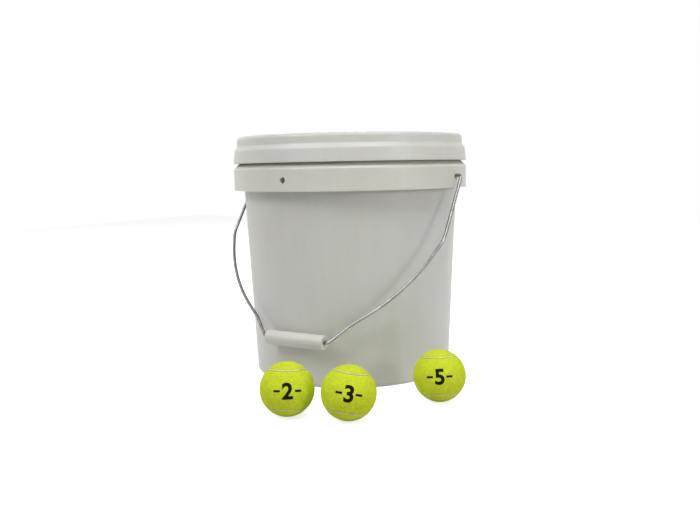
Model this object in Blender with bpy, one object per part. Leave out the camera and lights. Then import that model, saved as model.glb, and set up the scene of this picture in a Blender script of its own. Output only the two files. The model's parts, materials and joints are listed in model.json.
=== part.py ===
"""A plastic bucket for tennis balls, with its press-on lid, wire bail and grip, and three balls.

Metres, +Z up. +X runs along the bail's hinge axis, and the bail hangs on the -Y side.
The origin is on the floor, in the middle of the space that the bucket and the balls take up.
"""

import math

import bmesh
import bpy
from mathutils import Matrix, Vector

# Clearances
GAP = 0.0003  # between pieces that touch
LID_FIT = 0.0004  # between the lid's band and the bucket's rim bead, radially
PLUG_FIT = 0.0005  # between the lid's plug and the inside of the wall, radially
LEG_CLEARANCE = 0.0041  # between the bail's legs and the lid's skirt
TIP_CLEARANCE = 0.0008  # between the bail's tips and the bosses
FELT_BED = 0.0009  # corners of felt over core, so that flats between them stay clear

# Flats
ROUND_FLATS = 52  # round the bucket and the lid, a multiple of 4
SMALL_FLATS = 24  # round holes, bosses and the grip
ARC_ERROR = 0.00025  # how far the flats of a rounded corner may lie from its true arc

# Bucket wall, floor and rim
RIM_WALL_RADIUS = 0.1552  # outside of the wall at the rim
WALL_TAPER = 0.0154  # how much the wall comes in from the rim to the floor
RIM_HEIGHT = 0.3319
WALL = 0.0020
FLOOR = 0.0022
FOOT_HEIGHT = 0.0030  # the floor stands this high inside its foot ring
FOOT_RING_WIDTH = 0.0178  # from the wall, carried down to the floor, in to the raised floor
FOOT_SLOPE = 0.0025
FOOT_ROUND = 0.0060
FLOOR_ROUND = 0.0042
RIM_BEAD_WIDTH = 0.0027  # how far the bead stands out from the wall
RIM_BEAD_HEIGHT = 0.0044
RIM_ROUND = 0.0018
MOUTH_ROUND = 0.0010

# Collar below the lid, with its ribs, ears and holes
COLLAR_WIDTH = 0.0108  # how far it stands out from the wall at the rim
COLLAR_DROP = 0.0339  # from the rim down to the collar's top
COLLAR_HEIGHT = 0.0380
COLLAR_WALL = 0.0022
SHOULDER_ROUND = 0.0110
RIB_THICKNESS = 0.0016
RIB_RISE = 0.0030  # from the skirt's lower edge up to the ribs
RIB_SLOPE = 0.0080  # the ribs rise this much more towards the wall
RIB_ROOT = 0.0010  # how deep the ribs run into what they join
RIBS_PER_QUARTER = 6
EAR_RIB_ANGLE = 6  # degrees from a hole to the ribs on either side of it
HOLE_RADIUS = 0.0042
HOLE_RISE = 0.0146  # from the collar's lower edge up to the holes' axis
BOSS_RADIUS = 0.0070
BOSS_DEPTH = 0.0012

# Lid
LID_WALL = 0.0020
PANEL_RECESS = 0.0140
PLUG_DEPTH = 0.0232  # from the lid's top to the plug's lower edge
BAND_TOP_WALL = 0.0021  # the band's wall at its top, and at its foot, where it leans out
BAND_LOW_WALL = 0.0024
BAND_ROUND = 0.0055
BAND_DROP = 0.0135
STEP_DROP = 0.0060  # height of the slope between the band and the skirt
SKIRT_OVERHANG = 0.0004  # how far the skirt's lower edge stands out past the collar
SKIRT_FLARE = 0.0020
SKIRT_LAP = 0.0008  # how far the skirt's lower edge hangs below the collar's top
STEP_ROUND = 0.0030
LIP_ROUND = 0.0008
SNAP_BITE = 0.0007  # how far the lid's snap bead reaches under the rim bead
SNAP_HEIGHT = 0.0030
STACK_FIT = 0.0030  # between the raised disc on the panel and a foot ring that drops round it
STACK_DISC_RISE = 0.0015

# Bail and grip
WIRE_RADIUS = 0.0020
BAIL_SHIFT = 0.0018  # how far the bail has slid to the right in its ears
BAIL_LEAN = 0.0030  # how much further to the right its lower end hangs
BAIL_LENGTH = 0.2601  # from the hinge axis to the grip's axis
TIP_LENGTH = 0.0075
TIP_ROUND = 0.0030
HINGE_ROUND = 0.0045
LEG_LENGTH = 0.1004
LEG_ROUND = 0.0500
SHOULDER_INSET = 0.0295  # the slanting run bends here, this far in from the legs
SHOULDER_DROP = 0.0752  # and this far below their lower ends
SLANT_ROUND = 0.2350
KINK_OUT = 0.0235
KINK_RISE = 0.0261
KINK_ROUND = 0.0250
GRIP_BEND = 0.0050  # from the grip's end to the corner of the wire
GRIP_BEND_ROUND = 0.0080
GRIP_LENGTH = 0.0900
GRIP_RADIUS = 0.0096
GRIP_ROUND = 0.0012

# Tennis ball
BALL_RADIUS = 0.0330
FELT_THICKNESS = 0.0029
CORE_WALL = 0.0034
SEAM_WIDTH = 0.0020
SEAM_RECESS = 0.0008
SEAM_WAIST = 0.70  # half the panel's narrowest width, as a share of the ball's radius
SEAM_STEPS = 40
PANEL_STEPS = 6
CORE_FLATS = 16
CORE_RINGS = 3

# Places of the balls, to the right of the bucket's axis and in front of it
LEFT_BALL_OFFSET = 0.0635
LEFT_BALL_DISTANCE = 0.2548
MIDDLE_BALL_OFFSET = 0.1358
MIDDLE_BALL_DISTANCE = 0.2349
RIGHT_BALL_OFFSET = 0.1956
RIGHT_BALL_DISTANCE = 0.1183

# Each ball's place, and its heading, tilt and roll in degrees
BALLS = {
    "ball_left": (LEFT_BALL_OFFSET, LEFT_BALL_DISTANCE, 36.5, 10.8, -1.1),
    "ball_middle": (MIDDLE_BALL_OFFSET, MIDDLE_BALL_DISTANCE, 32.0, 13.3, -9.6),
    "ball_right": (RIGHT_BALL_OFFSET, RIGHT_BALL_DISTANCE, 25.4, 11.6, 2.9),
}

# Sizes that follow from those above
FOOT_WALL_RADIUS = RIM_WALL_RADIUS - WALL_TAPER
FOOT_INNER_RADIUS = FOOT_WALL_RADIUS - FOOT_RING_WIDTH
RIM_RADIUS = RIM_WALL_RADIUS + RIM_BEAD_WIDTH
COLLAR_RADIUS = RIM_WALL_RADIUS + COLLAR_WIDTH
COLLAR_TOP = RIM_HEIGHT - COLLAR_DROP
COLLAR_BOTTOM = COLLAR_TOP - COLLAR_HEIGHT
HOLE_HEIGHT = COLLAR_BOTTOM + HOLE_RISE
LID_TOP = RIM_HEIGHT + GAP + LID_WALL
BAND_INSIDE = RIM_RADIUS + LID_FIT
SKIRT_RADIUS = COLLAR_RADIUS + SKIRT_OVERHANG
SKIRT_BOTTOM = COLLAR_TOP - SKIRT_LAP
STACK_DISC_RADIUS = FOOT_INNER_RADIUS - STACK_FIT
PIN_END = COLLAR_RADIUS - COLLAR_WALL - BOSS_DEPTH - BAIL_SHIFT - TIP_CLEARANCE - WIRE_RADIUS
LEG_X = SKIRT_RADIUS + LEG_CLEARANCE + WIRE_RADIUS
HINGE_HEIGHT = HOLE_HEIGHT + (HOLE_RADIUS - WIRE_RADIUS - GAP)
FELT_INSIDE = BALL_RADIUS - FELT_THICKNESS
CORE_RADIUS = FELT_INSIDE - FELT_BED


def wall_radius(height):
    """Outside radius of the bucket's tapered wall at this height."""
    return FOOT_WALL_RADIUS + WALL_TAPER * height / RIM_HEIGHT


def material(name, colour, roughness, metallic=0.0):
    made = bpy.data.materials.new(name)
    made.use_nodes = True
    shader = made.node_tree.nodes["Principled BSDF"]
    shader.inputs["Base Color"].default_value = (*colour, 1.0)
    shader.inputs["Roughness"].default_value = roughness
    shader.inputs["Metallic"].default_value = metallic
    made.diffuse_color = (*colour, 1.0)
    return made


def add_object(name, data, parent=None, location=(0, 0, 0), finish=None):
    obj = bpy.data.objects.new(name, data)
    bpy.context.scene.collection.objects.link(obj)
    obj.parent = parent
    obj.location = location
    if finish and not data.materials:
        data.materials.append(finish)
    return obj


def add_tool(name, mesh, parent):
    """A helper that only shapes other pieces."""
    tool = add_object(name, mesh, parent)
    tool.hide_render = True
    tool.display_type = "WIRE"
    return tool


def add_boolean(obj, tool, operation):
    boolean = obj.modifiers.new(tool.name, "BOOLEAN")
    boolean.operation = operation
    boolean.solver = "EXACT"
    boolean.object = tool


def mesh_from(bm, name, sharp_angle=30):
    """A mesh of this bmesh, closed, facing out and shaded smooth between its sharp edges."""
    bmesh.ops.remove_doubles(bm, verts=bm.verts, dist=1e-6)
    bmesh.ops.recalc_face_normals(bm, faces=bm.faces)
    mesh = bpy.data.meshes.new(name)
    bm.to_mesh(mesh)
    bm.free()
    mesh.shade_smooth()
    mesh.set_sharp_from_angle(angle=math.radians(sharp_angle))
    return mesh


def rounded(corners):
    """The points of an outline with these corners (x, y) or (x, y, radius), the latter rounded."""
    points = []
    for index, corner in enumerate(corners):
        here = Vector(corner[:2])
        if len(corner) == 2:
            points.append(here)
            continue
        radius = corner[2]
        before = (Vector(corners[index - 1][:2]) - here).normalized()
        after = (Vector(corners[index + 1][:2]) - here).normalized()
        half = before.angle(after) / 2
        centre = here + (before + after).normalized() * radius / math.sin(half)
        start = here + before * radius / math.tan(half) - centre
        end = here + after * radius / math.tan(half) - centre
        turn = -start.angle_signed(end)
        widest = 2 * math.acos(1 - min(ARC_ERROR / radius, 1))
        steps = max(1, math.ceil(abs(turn) / widest))
        for step in range(steps + 1):
            points.append(centre + Matrix.Rotation(turn * step / steps, 2) @ start)
    return points


def lathe(name, outline, flats, closed=False):
    """Turns an outline of (radius, height) points round Z, with a flat's middle on +X."""
    bm = bmesh.new()
    first_side = Matrix.Rotation(math.pi / flats, 3, "Z")
    verts = [bm.verts.new(first_side @ Vector((point[0], 0, point[1]))) for point in outline]
    pairs = list(zip(verts, verts[1:]))
    if closed:
        pairs.append((verts[-1], verts[0]))
    edges = [bm.edges.new(pair) for pair in pairs]
    bmesh.ops.spin(
        bm,
        geom=verts + edges,
        cent=(0, 0, 0),
        axis=(0, 0, 1),
        angle=2 * math.pi,
        steps=flats,
        use_merge=True,
    )
    return mesh_from(bm, name)


def bucket_outline():
    """Floor with its foot ring, wall, collar and rim bead, from the axis below to the axis above."""
    collar_under = COLLAR_TOP - COLLAR_WALL
    bead_under = RIM_HEIGHT - RIM_BEAD_HEIGHT
    foot_outer = FOOT_INNER_RADIUS + FOOT_SLOPE
    corners = [
        (0, FOOT_HEIGHT),
        (FOOT_INNER_RADIUS, FOOT_HEIGHT),
        (foot_outer, 0),
        (wall_radius(0), 0, FOOT_ROUND),
        (wall_radius(collar_under), collar_under),
        (COLLAR_RADIUS - COLLAR_WALL, collar_under, SHOULDER_ROUND - COLLAR_WALL),
        (COLLAR_RADIUS - COLLAR_WALL, COLLAR_BOTTOM),
        (COLLAR_RADIUS, COLLAR_BOTTOM),
        (COLLAR_RADIUS, COLLAR_TOP, SHOULDER_ROUND),
        (wall_radius(COLLAR_TOP), COLLAR_TOP),
        (wall_radius(bead_under), bead_under),
        (RIM_RADIUS, bead_under),
        (RIM_RADIUS, RIM_HEIGHT, RIM_ROUND),
        (wall_radius(RIM_HEIGHT) - WALL, RIM_HEIGHT, MOUTH_ROUND),
        (wall_radius(FLOOR) - WALL, FLOOR, FLOOR_ROUND),
        (foot_outer, FLOOR),
        (FOOT_INNER_RADIUS, FOOT_HEIGHT + FLOOR),
        (0, FOOT_HEIGHT + FLOOR),
    ]
    return rounded(corners)


def lid_outline():
    """Panel, plug, band, step, skirt and snap bead, from the axis above to the axis below."""
    panel = LID_TOP - PANEL_RECESS
    ceiling = LID_TOP - LID_WALL
    plug_end = LID_TOP - PLUG_DEPTH
    plug_top = wall_radius(ceiling) - WALL - PLUG_FIT
    plug_low = wall_radius(plug_end) - WALL - PLUG_FIT
    bead_under = RIM_HEIGHT - RIM_BEAD_HEIGHT
    snap = bead_under - GAP
    band_low = LID_TOP - BAND_DROP
    skirt_top = band_low - STEP_DROP
    skirt_top_radius = SKIRT_RADIUS - SKIRT_FLARE
    corners = [
        (0, panel + STACK_DISC_RISE),
        (STACK_DISC_RADIUS, panel + STACK_DISC_RISE),
        (STACK_DISC_RADIUS + STACK_DISC_RISE, panel),
        (plug_low - LID_WALL, panel, STEP_ROUND),
        (plug_top - LID_WALL, LID_TOP, LID_WALL),
        (BAND_INSIDE + BAND_TOP_WALL, LID_TOP, BAND_ROUND),
        (BAND_INSIDE + BAND_LOW_WALL, band_low, STEP_ROUND),
        (skirt_top_radius, skirt_top, STEP_ROUND),
        (SKIRT_RADIUS, SKIRT_BOTTOM, LIP_ROUND),
        (SKIRT_RADIUS - LID_WALL, SKIRT_BOTTOM, LIP_ROUND),
        (skirt_top_radius - LID_WALL, skirt_top - LID_WALL / 2),
        (BAND_INSIDE + BAND_LOW_WALL - LID_WALL, band_low - LID_WALL / 2),
        (BAND_INSIDE, snap - SNAP_HEIGHT),
        (RIM_RADIUS - SNAP_BITE, snap - SNAP_HEIGHT / 2),
        (RIM_RADIUS - SNAP_BITE, snap - SNAP_HEIGHT / 4),
        (BAND_INSIDE, snap),
        (BAND_INSIDE, ceiling, RIM_ROUND),
        (plug_top, ceiling),
        (plug_low, plug_end),
        (plug_low - LID_WALL, plug_end),
        (plug_low - LID_WALL, panel - LID_WALL),
        (STACK_DISC_RADIUS + STACK_DISC_RISE, panel - LID_WALL),
        (STACK_DISC_RADIUS, panel + STACK_DISC_RISE - LID_WALL),
        (0, panel + STACK_DISC_RISE - LID_WALL),
    ]
    return rounded(corners)


def rib_corners():
    """One rib seen from its side: it follows the wall, the collar's shoulder and the skirt."""
    low = COLLAR_BOTTOM + RIB_RISE
    top = COLLAR_TOP - COLLAR_WALL + RIB_ROOT
    outer = COLLAR_RADIUS - COLLAR_WALL + RIB_ROOT
    inner_low = wall_radius(low + RIB_SLOPE) - RIB_ROOT
    corners = [
        (inner_low, low + RIB_SLOPE),
        (outer, low),
        (outer, top, SHOULDER_ROUND - RIB_ROOT),
        (wall_radius(top) - RIB_ROOT, top),
    ]
    return rounded(corners)


def quarter_turns():
    return [Matrix.Rotation(math.pi / 2 * quarter, 4, "Z") for quarter in range(4)]


def rib_mesh():
    """All ribs of the collar: plates that stand between the wall and the skirt."""
    bm = bmesh.new()
    side = Vector((0, RIB_THICKNESS / 2, 0))
    outline = [Vector((point[0], 0, point[1])) for point in rib_corners()]
    pitch = (90 - 2 * EAR_RIB_ANGLE) / (RIBS_PER_QUARTER - 1)
    for quarter in quarter_turns():
        for rib in range(RIBS_PER_QUARTER):
            angle = EAR_RIB_ANGLE + rib * pitch
            turn = quarter @ Matrix.Rotation(math.radians(angle), 4, "Z")
            near = bm.faces.new([bm.verts.new(turn @ (point - side)) for point in outline])
            moved = bmesh.ops.extrude_face_region(bm, geom=[near])["geom"]
            far = [item for item in moved if isinstance(item, bmesh.types.BMVert)]
            bmesh.ops.translate(bm, verts=far, vec=turn.to_3x3() @ side * 2)
    return mesh_from(bm, "ribs")


def radial_cylinders(name, radius, near, far):
    """Four cylinders on the bail holes' axes, from one distance out to another."""
    bm = bmesh.new()
    along_x = Matrix.Rotation(math.pi / 2, 4, "Y")
    middle = Matrix.Translation(((near + far) / 2, 0, HOLE_HEIGHT))
    for quarter in quarter_turns():
        bmesh.ops.create_cone(
            bm,
            cap_ends=True,
            segments=SMALL_FLATS,
            radius1=radius,
            radius2=radius,
            depth=far - near,
            matrix=quarter @ middle @ along_x,
        )
    return mesh_from(bm, name)


def add_bucket(stand, finish):
    bucket = add_object("bucket", lathe("bucket", bucket_outline(), ROUND_FLATS), stand, finish=finish)
    skirt_inside = COLLAR_RADIUS - COLLAR_WALL
    bosses = radial_cylinders(
        "bosses", BOSS_RADIUS, skirt_inside - BOSS_DEPTH, skirt_inside + COLLAR_WALL / 2
    )
    holes = radial_cylinders(
        "holes", HOLE_RADIUS, skirt_inside - 2 * BOSS_DEPTH, COLLAR_RADIUS + COLLAR_WALL
    )
    add_boolean(bucket, add_tool("tool_ribs", rib_mesh(), stand), "UNION")
    add_boolean(bucket, add_tool("tool_bosses", bosses, stand), "UNION")
    add_boolean(bucket, add_tool("tool_holes", holes, stand), "DIFFERENCE")


def bail_points():
    """The bent wire in its own plane, hanging down from the hinge axis at the origin."""
    slant = (LEG_X - SHOULDER_INSET, -LEG_LENGTH - SHOULDER_DROP, SLANT_ROUND)
    grip_corner = GRIP_LENGTH / 2 + GRIP_BEND
    right = [
        (PIN_END, TIP_LENGTH),
        (PIN_END, 0, TIP_ROUND),
        (LEG_X, 0, HINGE_ROUND),
        (LEG_X, -LEG_LENGTH, LEG_ROUND),
        slant,
        (grip_corner + KINK_OUT, -BAIL_LENGTH + KINK_RISE, KINK_ROUND),
        (grip_corner, -BAIL_LENGTH, GRIP_BEND_ROUND),
    ]
    left = [(-corner[0], *corner[1:]) for corner in reversed(right)]
    lean = BAIL_LEAN / BAIL_LENGTH
    return [Vector((point.x - lean * point.y, point.y)) for point in rounded(right + left)]


def hang_angle():
    """The bail's lean from straight down, with its grip lying against the tapered wall."""
    slope = math.atan(WALL_TAPER / RIM_HEIGHT)
    reach = (GRIP_RADIUS + GAP) / math.cos(slope)
    angle = 0.0
    for _ in range(20):
        grip_height = HINGE_HEIGHT - BAIL_LENGTH * math.cos(angle)
        flat = wall_radius(grip_height) * math.cos(math.pi / ROUND_FLATS)
        angle = math.asin((flat + reach) / BAIL_LENGTH)
    return angle


def add_bail(hinge, finish):
    curve = bpy.data.curves.new("bail", "CURVE")
    curve.dimensions = "3D"
    curve.bevel_depth = WIRE_RADIUS
    curve.bevel_resolution = 2
    curve.use_fill_caps = True
    points = bail_points()
    spline = curve.splines.new("POLY")
    spline.points.add(len(points) - 1)
    for target, point in zip(spline.points, points):
        target.co = (point[0], 0, point[1], 1)
    spline.use_smooth = True
    add_object("bail_wire", curve, hinge, finish=finish)


def add_grip(hinge, finish):
    bore = WIRE_RADIUS + GAP
    end = GRIP_LENGTH / 2
    corners = [
        (bore, -end),
        (GRIP_RADIUS, -end, GRIP_ROUND),
        (GRIP_RADIUS, end, GRIP_ROUND),
        (bore, end),
    ]
    mesh = lathe("bail_grip", rounded(corners), SMALL_FLATS, closed=True)
    grip = add_object("bail_grip", mesh, hinge, (BAIL_LEAN, 0, -BAIL_LENGTH), finish)
    grip.rotation_euler = (0, math.pi / 2, 0)


def seam_point(turn):
    """Unit direction of the seam. X runs along one felt panel, Y across it, Z out of its waist."""
    wide = (1 + SEAM_WAIST) / 2
    narrow = (1 - SEAM_WAIST) / 2
    along = -wide * math.sin(turn) - narrow * math.sin(3 * turn)
    across = wide * math.cos(turn) - narrow * math.cos(3 * turn)
    return Vector((along, across, 2 * math.sqrt(wide * narrow) * math.cos(2 * turn)))


def beside_seam(turn, distance):
    """Unit direction of a point this far from the seam's middle, towards the panel round +Z."""
    here = seam_point(turn)
    step = 1e-4
    ahead = (seam_point(turn + step) - seam_point(turn - step)).normalized()
    side = here.cross(ahead)
    angle = distance / BALL_RADIUS
    return (here * math.cos(angle) + side * math.sin(angle)).normalized()


def seam_turns():
    return [2 * math.pi * step / SEAM_STEPS for step in range(SEAM_STEPS)]


def felt_mesh():
    """One of the two dog-bone felt panels, ruled across from one seam edge to the other."""
    bm = bmesh.new()
    half_steps = SEAM_STEPS // 2
    rows = []
    for step in range(half_steps + 1):
        turn = math.pi * step / half_steps - math.pi / 2
        edge = beside_seam(turn, SEAM_WIDTH / 2 + GAP)
        other = Vector((edge.x, -edge.y, edge.z))
        rows.append([edge.slerp(other, index / PANEL_STEPS) for index in range(PANEL_STEPS + 1)])
    outer = [[bm.verts.new(point * BALL_RADIUS) for point in row] for row in rows]
    inner = [[bm.verts.new(point * FELT_INSIDE) for point in row] for row in rows]
    for step in range(half_steps):
        for layer in (outer, inner):
            for index in range(PANEL_STEPS):
                near, far = layer[step], layer[step + 1]
                bm.faces.new((near[index], near[index + 1], far[index + 1], far[index]))
        for index in (0, PANEL_STEPS):
            bm.faces.new(
                (
                    outer[step][index],
                    outer[step + 1][index],
                    inner[step + 1][index],
                    inner[step][index],
                )
            )
    return mesh_from(bm, "felt_panel", 50)


def seam_mesh():
    """The raised rubber line between the felt panels."""
    bm = bmesh.new()
    rings = []
    for turn in seam_turns():
        left = beside_seam(turn, -SEAM_WIDTH / 2)
        right = beside_seam(turn, SEAM_WIDTH / 2)
        top = BALL_RADIUS - SEAM_RECESS
        corners = (left * FELT_INSIDE, right * FELT_INSIDE, right * top, left * top)
        rings.append([bm.verts.new(corner) for corner in corners])
    for near, far in zip(rings, rings[1:] + rings[:1]):
        for index in range(4):
            after = (index + 1) % 4
            bm.faces.new((near[index], near[after], far[after], far[index]))
    return mesh_from(bm, "seam", 50)


def core_mesh():
    """Half of the hollow rubber core, open at its joint."""
    turns = [math.pi / 2 * step / CORE_RINGS for step in range(CORE_RINGS + 1)]
    outer = [(CORE_RADIUS * math.sin(turn), CORE_RADIUS * math.cos(turn)) for turn in turns]
    inside = CORE_RADIUS - CORE_WALL
    inner = [(inside * math.sin(turn), inside * math.cos(turn)) for turn in reversed(turns)]
    outline = [(max(radius, 0), height + GAP / 2) for radius, height in outer + inner]
    outline[0] = (0, outline[0][1])
    outline[-1] = (0, outline[-1][1])
    return lathe("core_half", outline, CORE_FLATS)


def add_balls(stand, felt, seam, core):
    """Each ball is two core halves, two felt panels and the seam between them."""
    turn_over = Matrix.Rotation(math.pi, 4, (1, 1, 0))
    felt_panel = felt_mesh()
    seam_ring = seam_mesh()
    core_half = core_mesh()
    for name, (offset, distance, heading, tilt, roll) in BALLS.items():
        centre = add_object(name + "_centre", None, stand)
        centre.matrix_local = (
            Matrix.Translation((offset, -distance, BALL_RADIUS))
            @ Matrix.Rotation(math.radians(heading), 4, "Z")
            @ Matrix.Rotation(math.radians(90 - tilt), 4, "X")
            @ Matrix.Rotation(math.radians(roll), 4, "Z")
        )
        add_object(name + "_seam", seam_ring, centre, finish=seam)
        add_object(name + "_felt_front", felt_panel, centre, finish=felt)
        add_object(name + "_core_front", core_half, centre, finish=core)
        add_object(name + "_felt_back", felt_panel, centre, finish=felt).matrix_local = turn_over
        add_object(name + "_core_back", core_half, centre, finish=core).matrix_local = turn_over


def centre_on_origin(stand):
    """Moves everything so that the origin is in the middle of the space it takes up on the floor."""
    bpy.context.view_layer.update()
    graph = bpy.context.evaluated_depsgraph_get()
    xs = []
    ys = []
    for obj in bpy.context.scene.objects:
        if obj.type == "EMPTY" or obj.hide_render:
            continue
        evaluated = obj.evaluated_get(graph)
        for vert in evaluated.to_mesh().vertices:
            place = evaluated.matrix_world @ vert.co
            xs.append(place.x)
            ys.append(place.y)
        evaluated.to_mesh_clear()
    stand.location = (-(min(xs) + max(xs)) / 2, -(min(ys) + max(ys)) / 2, 0)


def main():
    for obj in list(bpy.data.objects):
        bpy.data.objects.remove(obj)
    pail = material("pail_plastic", (0.68, 0.67, 0.63), 0.38)
    lid_plastic = material("lid_plastic", (0.70, 0.69, 0.65), 0.35)
    grip_plastic = material("grip_plastic", (0.72, 0.71, 0.67), 0.42)
    steel = material("zinc_wire", (0.62, 0.63, 0.64), 0.28, metallic=1.0)
    felt = material("ball_felt", (0.64, 0.76, 0.04), 0.95)
    seam = material("seam_rubber", (0.72, 0.75, 0.42), 0.70)
    core = material("core_rubber", (0.09, 0.09, 0.09), 0.75)

    stand = add_object("bucket_axis", None)
    add_bucket(stand, pail)
    add_object("lid", lathe("lid", lid_outline(), ROUND_FLATS), stand, finish=lid_plastic)
    hinge = add_object("bail_hinge", None, stand, (BAIL_SHIFT, 0, HINGE_HEIGHT))
    hinge.rotation_euler = (-hang_angle(), 0, 0)
    add_bail(hinge, steel)
    add_grip(hinge, grip_plastic)
    add_balls(stand, felt, seam, core)
    centre_on_origin(stand)


main()
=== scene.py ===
"""The looks of the tennis ball bucket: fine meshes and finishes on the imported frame. Metres, +Z up."""

import json
import math
import random

import bmesh
import bpy
import numpy as np
from mathutils import Matrix, Vector, noise
from mathutils.bvhtree import BVHTree


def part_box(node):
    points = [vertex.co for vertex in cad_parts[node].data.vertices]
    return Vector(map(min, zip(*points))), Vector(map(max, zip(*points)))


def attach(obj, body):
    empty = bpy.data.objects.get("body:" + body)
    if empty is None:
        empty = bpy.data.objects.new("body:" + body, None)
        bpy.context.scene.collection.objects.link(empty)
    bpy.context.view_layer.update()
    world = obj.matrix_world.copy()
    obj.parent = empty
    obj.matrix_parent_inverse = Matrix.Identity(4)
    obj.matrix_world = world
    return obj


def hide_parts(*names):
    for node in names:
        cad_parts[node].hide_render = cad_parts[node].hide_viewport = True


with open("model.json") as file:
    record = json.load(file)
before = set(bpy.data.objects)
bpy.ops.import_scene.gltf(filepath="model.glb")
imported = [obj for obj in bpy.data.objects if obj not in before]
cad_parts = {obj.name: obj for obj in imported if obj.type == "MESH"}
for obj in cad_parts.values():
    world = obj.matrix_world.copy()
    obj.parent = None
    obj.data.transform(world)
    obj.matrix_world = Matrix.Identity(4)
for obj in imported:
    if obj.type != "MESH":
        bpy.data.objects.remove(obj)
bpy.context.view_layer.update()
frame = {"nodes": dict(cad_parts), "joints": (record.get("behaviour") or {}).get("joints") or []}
joints = {joint["name"]: joint for joint in frame["joints"]}

# Fineness of the meshes
CAD_FLATS = 52  # flats of the frame's own round pieces, whose boxes are measured below
ROUND_FLATS = 256
HOLE_FLATS = 64
GRIP_FLATS = 96
WIRE_FLATS = 24
ARC_ERROR = 0.00002  # furthest that a flat may lie from the arc it stands for
RING_SPACING = 0.004
MERGE_DISTANCE = 1e-6
FELT_MERGE = 2e-6
PRINT_MERGE = 1e-7
SAME_DIRECTION = 1e-7  # two unit directions no further apart than this count as one

# Angles in degrees past which an edge shows sharp
SHARP_ANGLE = 35
WIRE_SHARP_ANGLE = 40
SEAM_SHARP_ANGLE = 50
PRINT_SHARP_ANGLE = 60
FELT_SHARP_ANGLE = 70

# Places and sizes read from the frame
bucket_low, bucket_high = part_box("bucket")
lid_low, lid_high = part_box("lid")
AXIS = Vector(((bucket_low.x + bucket_high.x) / 2, (bucket_low.y + bucket_high.y) / 2, 0))
RIM_HEIGHT = bucket_high.z
COLLAR_RADIUS = (bucket_high.x - bucket_low.x) / 2 / math.cos(math.pi / CAD_FLATS)
LID_TOP = lid_high.z
SKIRT_BOTTOM = lid_low.z
SKIRT_RADIUS = (lid_high.x - lid_low.x) / 2 / math.cos(math.pi / CAD_FLATS)
HINGE = Vector(joints["bail_swing"]["pos_m"])
GRIP_CENTRE = Vector(joints["grip_spin"]["pos_m"])

# Bucket
GAP = 0.0003  # clearance between neighbouring pieces
WALL_TAPER = 0.0154  # how much narrower the wall's radius is at the foot
WALL = 0.0020
FLOOR = 0.0022
FOOT_HEIGHT = 0.0030
FOOT_RING_WIDTH = 0.0178
FOOT_SLOPE = 0.0025
FOOT_ROUND = 0.0060
FLOOR_ROUND = 0.0042
RIM_BEAD_WIDTH = 0.0027
RIM_BEAD_HEIGHT = 0.0044
RIM_ROUND = 0.0018
MOUTH_ROUND = 0.0008
EDGE_ROUND = 0.0004
GATE_RADIUS = 0.0045  # mark left by the mould's gate, under the floor and on the lid's panel
GATE_RISE = 0.0007

# Collar
COLLAR_WIDTH = 0.0108  # how far it stands out from the wall at the rim
COLLAR_DROP = 0.0339  # from the rim down to the collar's top
COLLAR_HEIGHT = 0.0380
COLLAR_WALL = 0.0022
SHOULDER_SLOPE = 0.0085  # the shoulder slopes by this much in and up
SHOULDER_ROUND = 0.0022
RIB_THICKNESS = 0.0016
RIB_RISE = 0.0030
RIB_SLOPE = 0.0080
RIB_ROOT = 0.0010
RIBS_PER_QUARTER = 6
EAR_RIB_ANGLE = 6  # degrees from a hole to the rib beside it
HOLE_RADIUS = 0.0042
HOLE_RISE = 0.0146  # from the collar's lower edge up to the holes' axis
HOLE_LIP_WIDTH = 0.0008  # raised edge round each hole
HOLE_LIP_RISE = 0.0004
BOSS_RADIUS = 0.0070
BOSS_DEPTH = 0.0012

# Lid
LID_FIT = 0.0004
PLUG_FIT = 0.0005
LID_WALL = 0.0020
PANEL_RECESS = 0.0140
PLUG_DEPTH = 0.0232
BAND_TOP_WALL = 0.0021
BAND_LOW_WALL = 0.0024
BAND_ROUND = 0.0055
BAND_DROP = 0.0135
STEP_DROP = 0.0060
STEP_ROUND = 0.0030
SKIRT_FLARE = 0.0020
LIP_ROUND = 0.0008
SNAP_BITE = 0.0007  # how far the lid's bead reaches under the rim's bead
SNAP_HEIGHT = 0.0030
STACK_FIT = 0.0030
STACK_DISC_RISE = 0.0015
DISC_ROUND = 0.0008

# Bail and grip
WIRE_MAP = "along"  # name of the map that runs along the wire
WIRE_RADIUS = 0.0020
TIP_LENGTH = 0.0075
TIP_ROUND = 0.0030
TIP_CLEARANCE = 0.0008
TIP_CHAMFER = 0.0004
LEG_CLEARANCE = 0.0041
HINGE_ROUND = 0.0045
LEG_LENGTH = 0.1004
LEG_ROUND = 0.0500
SHOULDER_INSET = 0.0295
SHOULDER_DROP = 0.0752
SLANT_ROUND = 0.2350
KINK_OUT = 0.0235
KINK_RISE = 0.0261
KINK_ROUND = 0.0250
GRIP_LENGTH = 0.0900
GRIP_BEND = 0.0050
GRIP_BEND_ROUND = 0.0080
GRIP_RADIUS = 0.0096
GRIP_ROUND = 0.0016
GRIP_RECESS_RADIUS = 0.0048
GRIP_RECESS_DEPTH = 0.0008

# Tennis balls
BALL_RADIUS = 0.0330
FELT_THICKNESS = 0.0029
FELT_EDGE_DROP = 0.0010  # how far the felt rolls down beside the seam
FELT_EDGE_ROLL = 0.0017
FELT_TUCK = 0.0008  # the felt's surface below the tips of its fuzz
TUFT_SCALE = 420
TUFT_HEIGHT = 0.00016
STRAND_SCALE = 1150
STRAND_HEIGHT = 0.00008
SEED_SHIFT = (7.3, 3.1, 5.7)  # moves the tufts to another place for each seed
SEAM_WIDTH = 0.0020
SEAM_RECESS = 0.0008
SEAM_WAIST = 0.70  # half the width of a panel's waist, as a share of the ball's radius
SEAM_STEPS = 320
SEAM_SAMPLES = 900
PANEL_STEPS = 44
FLOOR_CLEARANCE = 0.0001

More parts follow.
